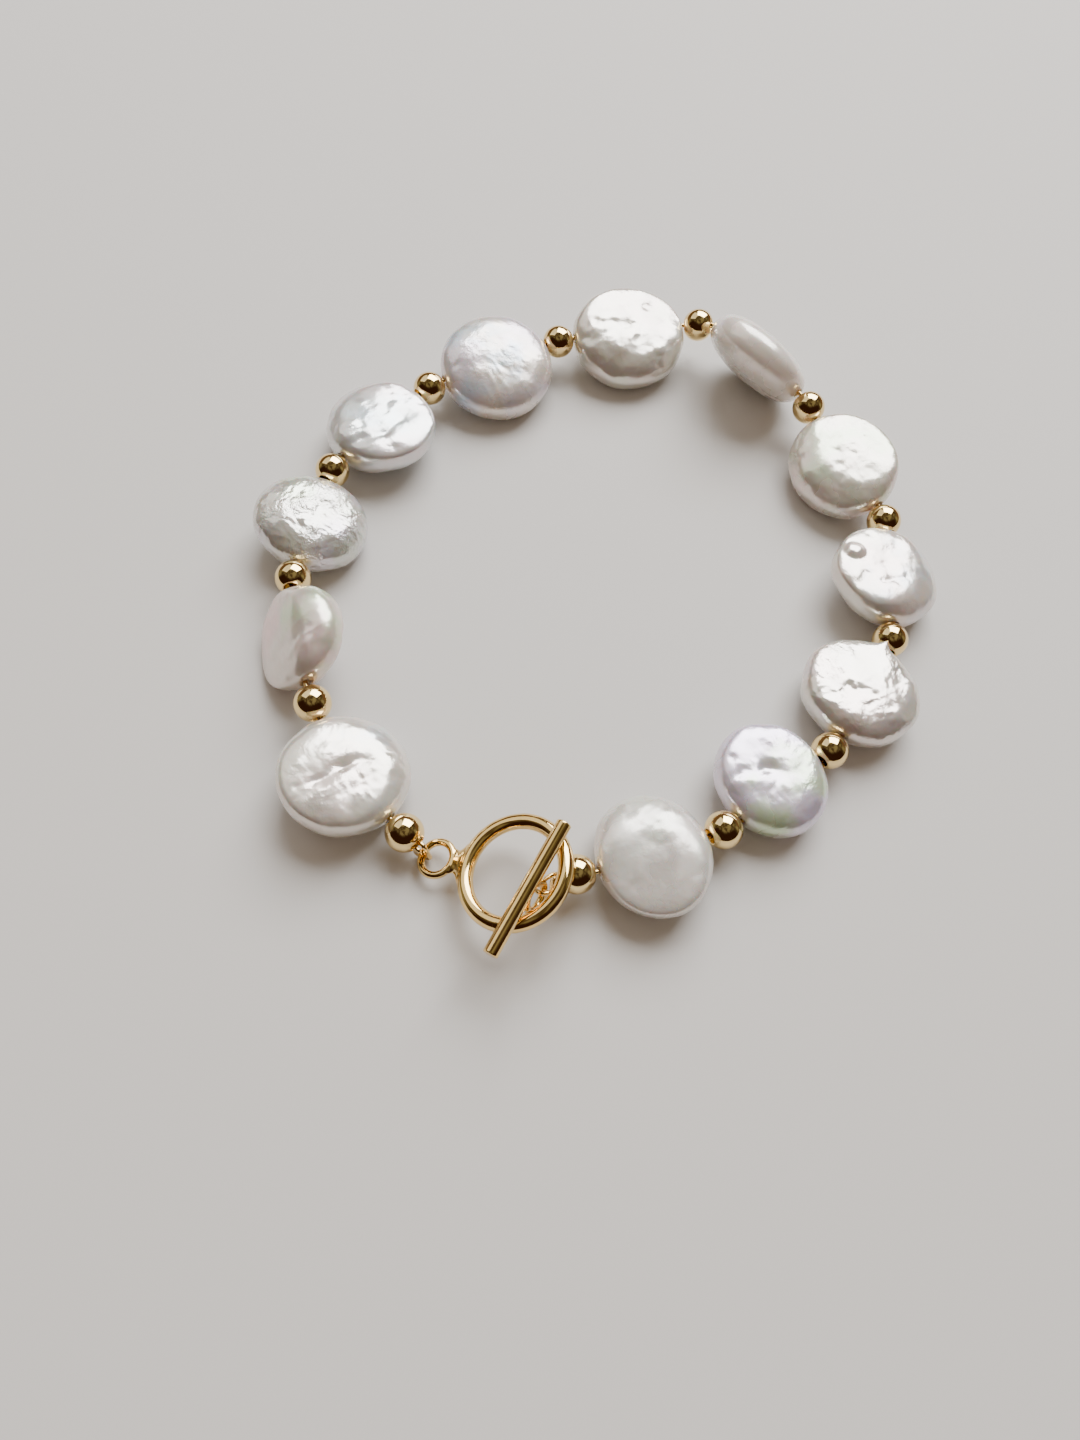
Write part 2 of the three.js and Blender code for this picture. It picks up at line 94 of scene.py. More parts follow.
# %% [markdown]
# ## Where the beads and pearls are
# A drilled bead spreads most along its own hole, so that direction is its bore. A coin pearl is
# thinnest through its faces. Its own X direction runs along the string, from the mouth of the
# bead before it to the mouth of the bead after it, Z leaves its upper face, and Y points out of
# the loop.

# %% Measure beads and pearls
BEAD_RADIUS = 1.5 * MM
BEAD_BORE_RADIUS = 0.6 * MM
BEAD_REACH = math.sqrt(BEAD_RADIUS ** 2 - BEAD_BORE_RADIUS ** 2)

beads = []
for number in range(1, BEAD_COUNT + 1):
    points = corners(f"bead_{number:02d}")
    beads.append({"node": f"bead_{number:02d}", "middle": points.mean(axis=0),
                  "bore": spread_axes(points)[LONGEST]})
for i, bead in enumerate(beads):
    before = beads[max(i - 1, 0)]["middle"]
    after = beads[min(i + 1, len(beads) - 1)]["middle"]
    bead["bore"] = turned_to(bead["bore"], after - before)

pearls = []
for number in range(1, PEARL_COUNT + 1):
    points = corners(f"pearl_{number:02d}")
    start = beads[number - 1]["middle"] + beads[number - 1]["bore"] * BEAD_REACH
    end = beads[number]["middle"] - beads[number]["bore"] * BEAD_REACH
    x = unit(end - start)
    thin = turned_to(spread_axes(points)[SHORTEST], UP)
    y = unit(np.cross(thin, x))
    z = np.cross(x, y)
    local = points @ np.array([x, y, z]).T
    low, high = local.min(axis=0), local.max(axis=0)
    middle = (low + high) / 2 @ np.array([x, y, z])
    pearls.append({
        "node": f"pearl_{number:02d}",
        "place": place(x, y, z, middle),
        "half": (high - low) / 2,
        "bore_y": float(np.dot(start - middle, y)),
        "bore_z": float(np.dot(start - middle, z)),
    })
print("pearl half sizes in mm:", [tuple(np.round(p["half"] / MM, 2)) for p in pearls])

# %% [markdown]
# ## Shared surface effects
# A node group is a small shader machine that several materials can use. It only works out
# colours, masks and heights, and each material feeds them to its own shader. A few helpers keep
# the code of the groups short.

# %% Node group helpers
def new_group(name, inputs, outputs):
    """An empty group with these sockets, and its nodes of inputs and of outputs."""
    group = bpy.data.node_groups.new(name, "ShaderNodeTree")
    for title, kind, value in inputs:
        socket = group.interface.new_socket(title, in_out="INPUT", socket_type=kind)
        if value is not None:
            socket.default_value = value
    for title, kind in outputs:
        group.interface.new_socket(title, in_out="OUTPUT", socket_type=kind)
    entry = group.nodes.new("NodeGroupInput")
    leave = group.nodes.new("NodeGroupOutput")
    return group, entry, leave


def add_node(tree, kind, **settings):
    made = tree.nodes.new(kind)
    for name, value in settings.items():
        setattr(made, name, value)
    return made


def noise_node(tree, vector, scale, detail, roughness=0.5):
    """Soft clouds. A scale of 1000 puts about one swelling on each millimetre."""
    made = add_node(tree, "ShaderNodeTexNoise")
    tree.links.new(vector, made.inputs["Vector"])
    made.inputs["Scale"].default_value = scale
    made.inputs["Detail"].default_value = detail
    made.inputs["Roughness"].default_value = roughness
    return made


def remap(tree, value, low, high, to_low=0.0, to_high=1.0):
    """A value between low and high, moved smoothly to lie between two other numbers."""
    made = add_node(tree, "ShaderNodeMapRange", interpolation_type="SMOOTHSTEP")
    tree.links.new(value, made.inputs["Value"])
    for title, number in (("From Min", low), ("From Max", high),
                          ("To Min", to_low), ("To Max", to_high)):
        made.inputs[title].default_value = number
    return made.outputs["Result"]


def mix_colors(tree, share, first, second):
    made = add_node(tree, "ShaderNodeMix", data_type="RGBA")
    for title, source in (("Factor", share), ("A", first), ("B", second)):
        sockets = [s for s in made.inputs if s.name == title and s.enabled]
        tree.links.new(source, sockets[0])
    return [s for s in made.outputs if s.enabled][0]


def plain_color(tree, color):
    made = add_node(tree, "ShaderNodeRGB")
    made.outputs[0].default_value = (*color, 1)
    return made.outputs[0]


def add_math(tree, operation, *sources):
    """One sum of numbers and sockets, such as a product."""
    made = add_node(tree, "ShaderNodeMath", operation=operation)
    for socket, source in zip(made.inputs, sources):
        if isinstance(source, (int, float)):
            socket.default_value = source
        else:
            tree.links.new(source, socket)
    return made.outputs[0]


# %% [markdown]
# A pearl is made of thousands of thin layers, and where they lie a little thicker it looks rosy,
# green or blue. The first group mixes two soft clouds of such tints into the body colour. It
# also tells where the layers have grown smoothest, as a patchy mask of luster.

# %% Clouds of colour in a pearl
overtones, entry, leave = new_group(
    "pearl_overtones",
    [("Vector", "NodeSocketVector", None), ("Body", "NodeSocketColor", (0.8, 0.8, 0.8, 1)),
     ("First Tint", "NodeSocketColor", (0.8, 0.7, 0.7, 1)),
     ("Second Tint", "NodeSocketColor", (0.7, 0.8, 0.7, 1)), ("Amount", "NodeSocketFloat", 0.5)],
    [("Color", "NodeSocketColor"), ("Luster", "NodeSocketFloat")])
inside = entry.outputs["Vector"]
first_cloud = noise_node(overtones, inside, scale=170.0, detail=2.0)
second_cloud = noise_node(overtones, inside, scale=230.0, detail=3.0, roughness=0.55)
clouded = entry.outputs["Body"]
for tint, cloud, low, high in (("First Tint", first_cloud, 0.42, 0.62),
                               ("Second Tint", second_cloud, 0.5, 0.68)):
    share = add_math(overtones, "MULTIPLY", entry.outputs["Amount"],
                     remap(overtones, cloud.outputs["Fac"], low, high))
    clouded = mix_colors(overtones, share, clouded, entry.outputs[tint])
overtones.links.new(clouded, leave.inputs["Color"])
grown = noise_node(overtones, inside, scale=480.0, detail=2.0)
overtones.links.new(remap(overtones, grown.outputs["Fac"], 0.38, 0.60), leave.inputs["Luster"])
print("nodes that cloud a pearl:", len(overtones.nodes))

# %% [markdown]
# The second group makes the fine creases that break up a pearl's shine. Broad and fine noise
# are added, the fine one only in patches. Both are read at places that another noise has bent,
# so the creases curl as they do in nacre.

# %% Fine creases of a pearl
CREASE_BEND = 1.6 * MM
BROAD_SHARE = 1.9

creases, entry, leave = new_group(
    "pearl_creases",
    [("Vector", "NodeSocketVector", None), ("Amount", "NodeSocketFloat", 0.5)],
    [("Height", "NodeSocketFloat")])
inside = entry.outputs["Vector"]
bent = noise_node(creases, inside, scale=260.0, detail=2.0)
shift = add_node(creases, "ShaderNodeVectorMath", operation="MULTIPLY_ADD")
creases.links.new(bent.outputs["Color"], shift.inputs[0])
shift.inputs[1].default_value = (CREASE_BEND, CREASE_BEND, CREASE_BEND)
creases.links.new(inside, shift.inputs[2])
fine = noise_node(creases, shift.outputs["Vector"], scale=1900.0, detail=3.0, roughness=0.6)
broad = noise_node(creases, shift.outputs["Vector"], scale=620.0, detail=2.0)
where = noise_node(creases, inside, scale=300.0, detail=1.0)
patch = remap(creases, where.outputs["Fac"], 0.40, 0.60, 0.15, 1.0)
fine_height = add_math(creases, "MULTIPLY", fine.outputs["Fac"], patch)
total = add_math(creases, "MULTIPLY_ADD", broad.outputs["Fac"], BROAD_SHARE, fine_height)
height = add_math(creases, "MULTIPLY", total, entry.outputs["Amount"])
creases.links.new(height, leave.inputs["Height"])
print("nodes that crease a pearl:", len(creases.nodes))

# %% [markdown]
# Metal that is worn gets faint marks and an uneven polish. The third group gives all gold on
# the bracelet a roughness that changes in clouds, a barely raised surface, and a shade mask for
# places that look a little deeper in colour.

# %% Polish marks of metal
WAVE_SHARE = 4.0

polish, entry, leave = new_group(
    "metal_polish",
    [("Vector", "NodeSocketVector", None), ("Roughness", "NodeSocketFloat", 0.1)],
    [("Roughness", "NodeSocketFloat"), ("Height", "NodeSocketFloat"), ("Shade", "NodeSocketFloat")])
inside = entry.outputs["Vector"]
cloudy = noise_node(polish, inside, scale=900.0, detail=3.0)
scratches = noise_node(polish, inside, scale=5200.0, detail=2.0, roughness=0.7)
waves = noise_node(polish, inside, scale=420.0, detail=1.0)
uneven = remap(polish, cloudy.outputs["Fac"], 0.35, 0.7, 0.7, 1.6)
polish.links.new(add_math(polish, "MULTIPLY", entry.outputs["Roughness"], uneven),
                 leave.inputs["Roughness"])
polish.links.new(add_math(polish, "MULTIPLY_ADD", waves.outputs["Fac"], WAVE_SHARE,
                          scratches.outputs["Fac"]), leave.inputs["Height"])
polish.links.new(remap(polish, cloudy.outputs["Fac"], 0.3, 0.7), leave.inputs["Shade"])
print("node groups:", [g.name for g in bpy.data.node_groups])

# %% [markdown]
# ## Nacre and gold
# Each material has its own Principled shader, which takes its values from the groups above. The
# groups read the place on the piece itself, so the pattern stays on it when it is moved.

# %% Material helpers
def start_material(name):
    material = bpy.data.materials.new(name)
    material.use_nodes = True
    tree = material.node_tree
    shader = tree.nodes["Principled BSDF"]
    coordinates = add_node(tree, "ShaderNodeTexCoord")
    return material, tree, shader, coordinates.outputs["Object"]


def use_group(tree, group, vector):
    made = add_node(tree, "ShaderNodeGroup", node_tree=group)
    tree.links.new(vector, made.inputs["Vector"])
    return made


def bump(tree, shader, height, distance):
    made = add_node(tree, "ShaderNodeBump")
    made.inputs["Distance"].default_value = distance
    tree.links.new(height, made.inputs["Height"])
    tree.links.new(made.outputs["Normal"], shader.inputs["Normal"])
    tree.links.new(made.outputs["Normal"], shader.inputs["Coat Normal"])


# %% [markdown]
# Nacre is bright and a little see-through, with a smooth clear top. About half of its shine
# works like a soft mirror, so some metallic share is used together with a sharp coat. Where the
# luster mask is low, the nacre is a little rougher and mirrors less.

# %% Nacre
NACRE = {"IOR": 1.6, "Coat Weight": 0.6, "Coat Roughness": 0.06,
         "Subsurface Weight": 0.25, "Subsurface Scale": 0.0012}
CREASE_HEIGHT = 0.00009
DULLER_ROUGHNESS = 0.07
DULLER_MIRROR = 0.04
CLOUD_STEP = (0.013, 0.007, 0.0)


def nacre(name, seed, marks):
    """The nacre of one pearl. Its seed moves it to its own place in the clouds."""
    material, tree, shader, vector = start_material(name)
    moved = add_node(tree, "ShaderNodeVectorMath", operation="ADD")
    tree.links.new(vector, moved.inputs[0])
    moved.inputs[1].default_value = [step * seed for step in CLOUD_STEP]
    clouds = use_group(tree, overtones, moved.outputs["Vector"])
    for title, color in zip(("Body", "First Tint", "Second Tint"), (marks["body"], *marks["over"])):
        clouds.inputs[title].default_value = (*color, 1)
    clouds.inputs["Amount"].default_value = marks["tint"]
    tree.links.new(clouds.outputs["Color"], shader.inputs["Base Color"])
    wrinkled = use_group(tree, creases, moved.outputs["Vector"])
    wrinkled.inputs["Amount"].default_value = marks["creasing"]
    bump(tree, shader, wrinkled.outputs["Height"], CREASE_HEIGHT)
    roughness, metallic = marks["gloss"]
    luster = clouds.outputs["Luster"]
    tree.links.new(remap(tree, luster, 0.0, 1.0, roughness + DULLER_ROUGHNESS, roughness),
                   shader.inputs["Roughness"])
    tree.links.new(remap(tree, luster, 0.0, 1.0, metallic - DULLER_MIRROR, metallic),
                   shader.inputs["Metallic"])
    for title, value in NACRE.items():
        shader.inputs[title].default_value = value
    return material


# %% [markdown]
# Gold takes nearly all its look from what it mirrors, so its colour stays pale and its roughness
# low. The beads are the brightest, the clasp is a little redder, and the wire is the dullest.

# %% Gold
POLISH_HEIGHT = 0.000002


def gold(name, color, roughness, shade):
    """Gold of this colour, and of a deeper one, shade times as bright, in patches."""
    material, tree, shader, vector = start_material(name)
    marked = use_group(tree, polish, vector)
    marked.inputs["Roughness"].default_value = roughness
    deep = plain_color(tree, [c * shade for c in color])
    tree.links.new(mix_colors(tree, marked.outputs["Shade"], deep, plain_color(tree, color)),
                   shader.inputs["Base Color"])
    tree.links.new(marked.outputs["Roughness"], shader.inputs["Roughness"])
    bump(tree, shader, marked.outputs["Height"], POLISH_HEIGHT)
    shader.inputs["Metallic"].default_value = 1.0
    return material


bead_gold = gold("bead_gold", (0.96, 0.73, 0.35), roughness=0.06, shade=0.92)
clasp_gold = gold("clasp_gold", (0.96, 0.68, 0.28), roughness=0.08, shade=0.90)
wire_gold = gold("wire_gold", (0.93, 0.67, 0.30), roughness=0.15, shade=0.88)
print("gold finishes:", bead_gold.name, clasp_gold.name, wire_gold.name)

# %% [markdown]
# ## The pearls
# A coin pearl grows round a flat disc, so it is a squared ellipsoid with a soft rim. Its nacre
# never lies quite even. The table gives each pearl its own colours and marks. Lumps are broad
# swellings all over. Ripples are rows of creases round one spot. Marks are single grooves, pits
# and warts, at places given in shares of the pearl's half length and half width.

# %% Colours of the pearls and of their clouds
WHITE = (0.78, 0.75, 0.69)
IVORY = (0.80, 0.77, 0.72)
CREAM = (0.76, 0.735, 0.66)
GREY = (0.71, 0.70, 0.665)
COOL = (0.73, 0.77, 0.785)
DUSKY = (0.74, 0.675, 0.63)
PINKISH = (0.81, 0.745, 0.685)
ORCHID = (0.76, 0.70, 0.80)

ROSE = (0.86, 0.66, 0.67)
VIOLET = (0.74, 0.68, 0.84)
GREEN = (0.62, 0.75, 0.54)
BLUE = (0.56, 0.74, 0.92)

# %% Table of the pearls' natural marks
# body: the pearl's colour. over: the tints of its two clouds. tint: how strong they are.
# creasing: how high its fine creases stand. gloss: roughness and mirror share.
# lumps: height in mm. planed: share of the half thickness at which the upper face is cut
# flatter, and how far that cut is tipped in degrees, along the string and outwards.
# ripples: middle and reach in shares, heading in degrees, spacing and depth in mm.
# marks: kind, one place or the two ends of a groove in shares, width and depth in mm.
PEARL_MARKS = [
    {"body": WHITE, "over": (ROSE, BLUE), "tint": 0.35, "creasing": 0.50,
     "gloss": (0.19, 0.62), "lumps": 0.100, "planed": (1.08, 0, 9),
     "ripples": [(0.10, -0.45, 0.45, 50, 0.60, 0.030), (-0.30, -0.30, 0.35, 20, 0.45, 0.024),
                 (0.10, 0.65, 0.30, 60, 0.60, 0.022)],
     "marks": [("groove", -0.04, 0.43, 0.01, 0.09, 1.10, 0.140),
               ("groove", 0.01, 0.09, -0.10, -0.24, 0.90, 0.110),
               ("pit", 0.08, 0.78, 0.50, 0.050)]},
    {"body": DUSKY, "over": (ROSE, GREEN), "tint": 0.80, "creasing": 0.25,
     "gloss": (0.20, 0.54), "lumps": 0.130, "planed": (0.88, 0, 22),
     "ripples": [(-0.30, -0.75, 0.55, 120, 0.70, 0.060)],
     "marks": []},
    {"body": GREY, "over": (VIOLET, GREEN), "tint": 0.50, "creasing": 1.70,
     "gloss": (0.16, 0.64), "lumps": 0.080, "planed": (1.28, 0, 0),
     "ripples": [(0.00, -0.62, 0.45, 68, 0.42, 0.055), (-0.20, -0.11, 0.45, 88, 0.40, 0.050),
                 (0.30, 0.10, 0.40, 75, 0.50, 0.030)],
     "marks": []},
    {"body": COOL, "over": (ROSE, BLUE), "tint": 0.35, "creasing": 0.30,
     "gloss": (0.20, 0.62), "lumps": 0.125, "planed": (0.95, 3, -12),
     "ripples": [(0.30, 0.10, 0.50, 110, 0.90, 0.030)],
     "marks": [("groove", -0.82, -0.08, -0.26, -0.41, 1.10, 0.130),
               ("groove", -0.26, -0.41, 0.26, -0.38, 1.00, 0.100),
               ("groove", -0.75, 0.16, -0.40, -0.02, 0.55, 0.050)]},
    {"body": PINKISH, "over": (VIOLET, BLUE), "tint": 0.60, "creasing": 0.45,
     "gloss": (0.24, 0.58), "lumps": 0.080, "planed": (1.32, 0, 2),
     "ripples": [(0.20, -0.15, 0.45, 131, 0.50, 0.032), (-0.20, -0.35, 0.40, 110, 0.60, 0.036)],
     "marks": []},
    {"body": WHITE, "over": (ROSE, GREEN), "tint": 0.25, "creasing": 0.35,
     "gloss": (0.20, 0.62), "lumps": 0.155, "planed": (1, 5, 14),
     "ripples": [(0.10, 0.00, 0.60, 0, 1.10, 0.060)],
     "marks": [("pit", 0.39, 0.50, 1.20, 0.180),
               ("groove", -0.58, 0.21, -0.05, 0.10, 1.00, 0.130),
               ("wart", 0.05, -0.03, 0.90, 0.060),
               ("wart", 0.44, -0.48, 0.80, 0.060),
               ("pit", 0.38, -0.75, 0.80, 0.080)]},
    {"body": IVORY, "over": (ROSE, VIOLET), "tint": 0.20, "creasing": 0.10,
     "gloss": (0.24, 0.32), "lumps": 0.015, "planed": (1.5, 0, 0),
     "ripples": [],
     "marks": []},
    {"body": CREAM, "over": (ROSE, GREEN), "tint": 0.60, "creasing": 0.45,
     "gloss": (0.22, 0.60), "lumps": 0.140, "planed": (1.06, -4, 15),
     "ripples": [(-0.10, 0.50, 0.45, 16, 0.60, 0.026)],
     "marks": [("pit", 0.06, 0.21, 0.80, 0.065),
               ("pit", 0.12, -0.15, 0.75, 0.060)]},
    {"body": WHITE, "over": (ROSE, BLUE), "tint": 0.35, "creasing": 0.40,
     "gloss": (0.20, 0.62), "lumps": 0.130, "planed": (1, -4, -15),
     "ripples": [(0.20, 0.20, 0.50, 82, 0.90, 0.045)],
     "marks": [("wart", -0.25, -0.73, 0.95, 0.300),
               ("ring", -0.25, -0.73, 1.10, 0.060),
               ("groove", 0.25, -0.57, 0.48, -0.69, 0.80, 0.090),
               ("groove", 0.35, -0.31, 0.16, 0.16, 0.60, 0.070),
               ("pit", -0.05, -0.21, 0.70, 0.060)]},
    {"body": WHITE, "over": (ROSE, VIOLET), "tint": 0.35, "creasing": 0.80,
     "gloss": (0.17, 0.68), "lumps": 0.155, "planed": (1.04, -3, -6),
     "ripples": [(0.50, -0.30, 0.45, 150, 0.45, 0.050), (0.35, 0.30, 0.45, 140, 0.50, 0.050)],
     "marks": [("pit", 0.22, -0.24, 0.70, 0.090),
               ("pit", 0.13, 0.17, 0.60, 0.090),
               ("pit", 0.43, -0.25, 0.55, 0.060),
               ("cusp", -0.94, -0.06, 1.00, 0.750)]},
    {"body": ORCHID, "over": (VIOLET, GREEN), "tint": 1.00, "creasing": 0.50,
     "gloss": (0.22, 0.60), "lumps": 0.125, "planed": (1.06, -2, -6),
     "ripples": [(0.20, -0.10, 0.60, 153, 1.10, 0.055)],
     "marks": [("groove", 0.60, -0.39, 0.11, -0.16, 1.20, 0.130),
               ("groove", 0.11, -0.16, -0.36, 0.15, 1.20, 0.120),
               ("pit", 0.47, -0.65, 0.75, 0.090)]},
    {"body": GREY, "over": (ROSE, GREEN), "tint": 0.18, "creasing": 0.20,
     "gloss": (0.27, 0.52), "lumps": 0.090, "planed": (1.05, 9, 14),
     "ripples": [(-0.10, -0.20, 0.60, 23, 1.40, 0.045)],
     "marks": [("pit", 0.28, -0.59, 0.90, 0.040)]},
]
print("single marks on each pearl:", [len(row["marks"]) for row in PEARL_MARKS])

# %% [markdown]
# The pearls are shaped from one ball whose points are spread evenly, made from a cube with
# finely divided sides. A ball made of rings would crowd its points at the poles, just where a
# pearl's broad faces are.

# %% An even ball of points
BALL_STEPS = 60


def even_ball(steps):
    """Directions and four-cornered faces of a finely divided cube blown up to a ball."""
    index, directions, faces = {}, [], []

    def corner(a, b, c):
        key = (a, b, c)
        if key not in index:
            index[key] = len(directions)
            turned = [math.tan(math.pi / 4 * v / steps) for v in key]
            directions.append(unit(np.array(turned)))
        return index[key]

    cells = range(-steps, steps, 2)
    for axis in range(3):
        for side in (-steps, steps):
            for p in cells:
                for q in cells:
                    ring = [(p, q), (p + 2, q), (p + 2, q + 2), (p, q + 2)]
                    if side < 0:
                        ring.reverse()
                    quad = []
                    for a, b in ring:
                        whole = [a, b]
                        whole.insert(axis, side)
                        if axis == 1:
                            whole = [b, side, a]
                        quad.append(corner(*whole))
                    faces.append(quad)
    return np.array(directions), faces


ball, ball_faces = even_ball(BALL_STEPS)
print("points and faces of the ball:", len(ball), len(ball_faces))

# %% [markdown]
# Each point of the ball is pushed out to the squared ellipsoid. Then the upper face is planed
# flatter with a soft edge, and tipped, as the faces of coin pearls often are.

# %% Cushion with a planed face
ROUNDNESS = 2.5
PLANE_SOFT = 1.0 * MM
RIM_END, FACE_START = 0.15, 0.6


def fade(x, start, end):
    """0 up to start, 1 from end on, and a smooth rise between them."""
    t = np.clip((x - start) / (end - start), 0, 1)
    return t * t * (3 - 2 * t)


def cushion(half):
    """Points of the squared ellipsoid, its normals, and 1 on both faces but 0 at the rim."""
    flat = np.hypot(ball[:, 0], ball[:, 1])
    power = flat ** ROUNDNESS + np.abs(ball[:, 2]) ** ROUNDNESS
    square = power ** (-1 / ROUNDNESS)
    points = ball * square[:, None] * half
    steep = np.abs(points / half) ** (ROUNDNESS - 1) * np.sign(points) / half
    normals = steep / np.linalg.norm(steep, axis=1)[:, None]
    return points, normals, fade(np.abs(points[:, 2]) / half[2], RIM_END, FACE_START)


def planed_down(points, half, share, tip_x, tip_y):
    """The points with the upper face cut softly at this share of the half thickness."""
    slopes = [math.tan(math.radians(tip)) for tip in (tip_x, tip_y)]
    flat_way = unit(np.array([*slopes, 1.0]))
    over = np.maximum(points @ flat_way - share * half[2] + PLANE_SOFT, 0)
    return points - (over ** 2 / (over + PLANE_SOFT))[:, None] * flat_way


# %% [markdown]
# Lumps and ripples are heights read from smooth noise. Lumps take it at three sizes, the finer
# ones only in patches. Ripples take it stretched along their heading and folded at zero, which
# turns its soft waves into sharp creases. Each pearl's seed moves it to its own place in the
# noise, so that no two are alike.

# %% Lumps and ripples
NOISE_STEP = (3.7, -1.9, 0.8)
LUMP_SIZE = 2.4 * MM
PATCH_SCALE = 0.8
PATCH_LEAST = 0.25
RIM_LEAST = 0.2
FINER_LUMPS = [(2.0, 0.50, 20), (4.2, 0.15, 30)]
WAVER = 0.35 * MM
WAVER_SIZE = 1.3 * MM
RIPPLE_STRETCH = 0.38
RIPPLE_RISE = 0.3
RIPPLE_SCALE = 0.7


def noise_at(points, scale, seed):
    """Smooth noise at every point, about -0.5 to 0.5, read at a place given by the seed."""
    offset = Vector([step * seed for step in NOISE_STEP])
    return np.array([noise.noise(Vector(p) * scale + offset) for p in points])


def lumpy(points, on_face, seed):
    """Heights of the swellings. FINER_LUMPS has how much finer, how strong, and their place."""
    patch = PATCH_LEAST + fade(noise_at(points, PATCH_SCALE / LUMP_SIZE, seed + 10), -0.25, 0.3)
    patch *= RIM_LEAST + (1 - RIM_LEAST) * on_face
    height = noise_at(points, 1 / LUMP_SIZE, seed)
    for finer, strength, place_in_noise in FINER_LUMPS:
        height += strength * patch * noise_at(points, finer / LUMP_SIZE, seed + place_in_noise)
    return height


def wavering(points, seed):
    """A small shift in X and Y that keeps creases and grooves from running straight."""
    return np.stack([noise_at(points, 1 / WAVER_SIZE, seed + 60),
                     noise_at(points, 1 / WAVER_SIZE, seed + 80)], axis=1) * WAVER


def ripple_depth(points, half, on_face, waver, seed, ripple):
    """Depth of one row of creases. Folded noise is doubled, so that it reaches full depth."""
    x, y, reach, heading, spacing, depth = ripple
    c, s = math.cos(math.radians(heading)), math.sin(math.radians(heading))
    dx, dy = points[:, 0] - x * half[0], points[:, 1] - y * half[1]
    near = np.exp(-(dx ** 2 + dy ** 2) / (reach * half[0]) ** 2) * on_face
    dx, dy = dx + waver[:, 0], dy + waver[:, 1]
    along, aside = (dx * c + dy * s) * RIPPLE_STRETCH, -dx * s + dy * c
    rows = np.stack([along, aside, points[:, 2] * RIPPLE_RISE], axis=1)
    folded = np.abs(noise_at(rows, RIPPLE_SCALE / (spacing * MM), seed + 40))
    return depth * MM * near * folded * 2


# %% [markdown]
# A single mark has a smooth height that fades with the distance from its place, or from the
# line between the two ends of a groove. A cusp is a tip that was drawn up and sideways while the
# pearl grew. At both drill holes the surface is drawn inwards round the string.

# %% Single marks and drill holes
CUSP_WAY = np.array([-0.55, 0.0, 0.83])
SHORTEST_RUN = 1e-12
PEARL_BORE_RADIUS = 0.42 * MM
BORE_DEPTH = 0.5 * MM
BORE_EDGE = (0.75, 1.15)


def mark_profile(kind, far, depth):
    """Height at distances in shares of the width. Warts have flat tops, cusps come to tips."""
    if kind == "ring":
        return -depth * np.exp(-((far - 1) / 0.25) ** 2)
    if kind == "wart":
        return depth * np.exp(-(far * 1.35) ** 4)
    if kind == "cusp":
        return depth * np.exp(-far * 2.2)
    return -depth * np.exp(-(far * 2) ** 2)


def mark_height(points, half, waver, mark):
    """Height of one mark at every point. A mark with one place both starts and ends there."""
    kind, *places, width, depth = mark
    start = np.array(places[:2]) * half[:2]
    run = np.array(places[-2:]) * half[:2] - start
    off = points[:, :2] - start
    if kind == "groove":
        off = off + waver
    share = np.clip(off @ run / max(np.linalg.norm(run) ** 2, SHORTEST_RUN), 0, 1)
    rest = off - share[:, None] * run
    return mark_profile(kind, np.hypot(rest[:, 0], rest[:, 1]) / (width * MM), depth * MM)


def drilled(points, pearl):
    """The points with the surface drawn inwards at both mouths of the bore."""
    from_bore = np.hypot(points[:, 1] - pearl["bore_y"], points[:, 2] - pearl["bore_z"])
    drawn = 1 - fade(from_bore / PEARL_BORE_RADIUS, *BORE_EDGE)
    points[:, 0] -= np.sign(points[:, 0]) * drawn * BORE_DEPTH
    return points


# %% [markdown]
# Now all of it comes together. Single marks lie on the upper face alone. Every height is added
# along the normal of the smooth cushion, which keeps the points evenly spread.

# %% Make the pearls
def pearl_points(pearl, marks, seed):
    half = pearl["half"]
    points, normals, on_face = cushion(half)
    upper = points[:, 2] > 0
    points = planed_down(points, half, *marks["planed"])
    waver = wavering(points, seed)
    height = lumpy(points, on_face, seed) * (marks["lumps"] * MM)
    for ripple in marks["ripples"]:
        height -= ripple_depth(points, half, on_face, waver, seed, ripple)
    peak = np.zeros(points.shape)
    for mark in marks["marks"]:
        rise = mark_height(points, half, waver, mark) * upper
        if mark[0] == "cusp":
            peak += rise[:, None] * CUSP_WAY
        else:
            height += rise * on_face
    return drilled(points + normals * height[:, None] + peak, pearl)


def add_mesh(name, points, faces, material, where=None):
    """A new smooth object with one material, set down by a matrix if there is one."""
    mesh = bpy.data.meshes.new(name)
    mesh.from_pydata([tuple(p) for p in points], [], faces)
    mesh.shade_smooth()
    mesh.materials.append(material)
    piece = bpy.data.objects.new(name, mesh)
    if where is not None:
        piece.matrix_world = where
    bpy.context.scene.collection.objects.link(piece)
    return piece


def stands_for(piece, node):
    """Hide the plain solid, and attach the fine piece to the root body."""
    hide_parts(node)
    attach(piece, "root")


for seed, (pearl, marks) in enumerate(zip(pearls, PEARL_MARKS), start=1):
    material = nacre(f"nacre_{seed:02d}", seed, marks)
    points = pearl_points(pearl, marks, seed)
    piece = add_mesh(f"coin_pearl_{seed:02d}", points, ball_faces, material, pearl["place"])
    stands_for(piece, pearl["node"])
print("pearls made:", len(pearls), "with", len(ball_faces), "faces each")

# %% [markdown]
# ## The gold beads
# Seamless round beads are pressed from tube, so the ball ends in a small rounded lip at each
# side of the hole. One half section is turned round the bore, which is the quickest way to
# make anything round with a hole.

# %% Turned bead
LIP_RADIUS = 0.1 * MM
WALL_STEPS = 32
LIP_STEPS = 8
BEAD_TURNS = 72


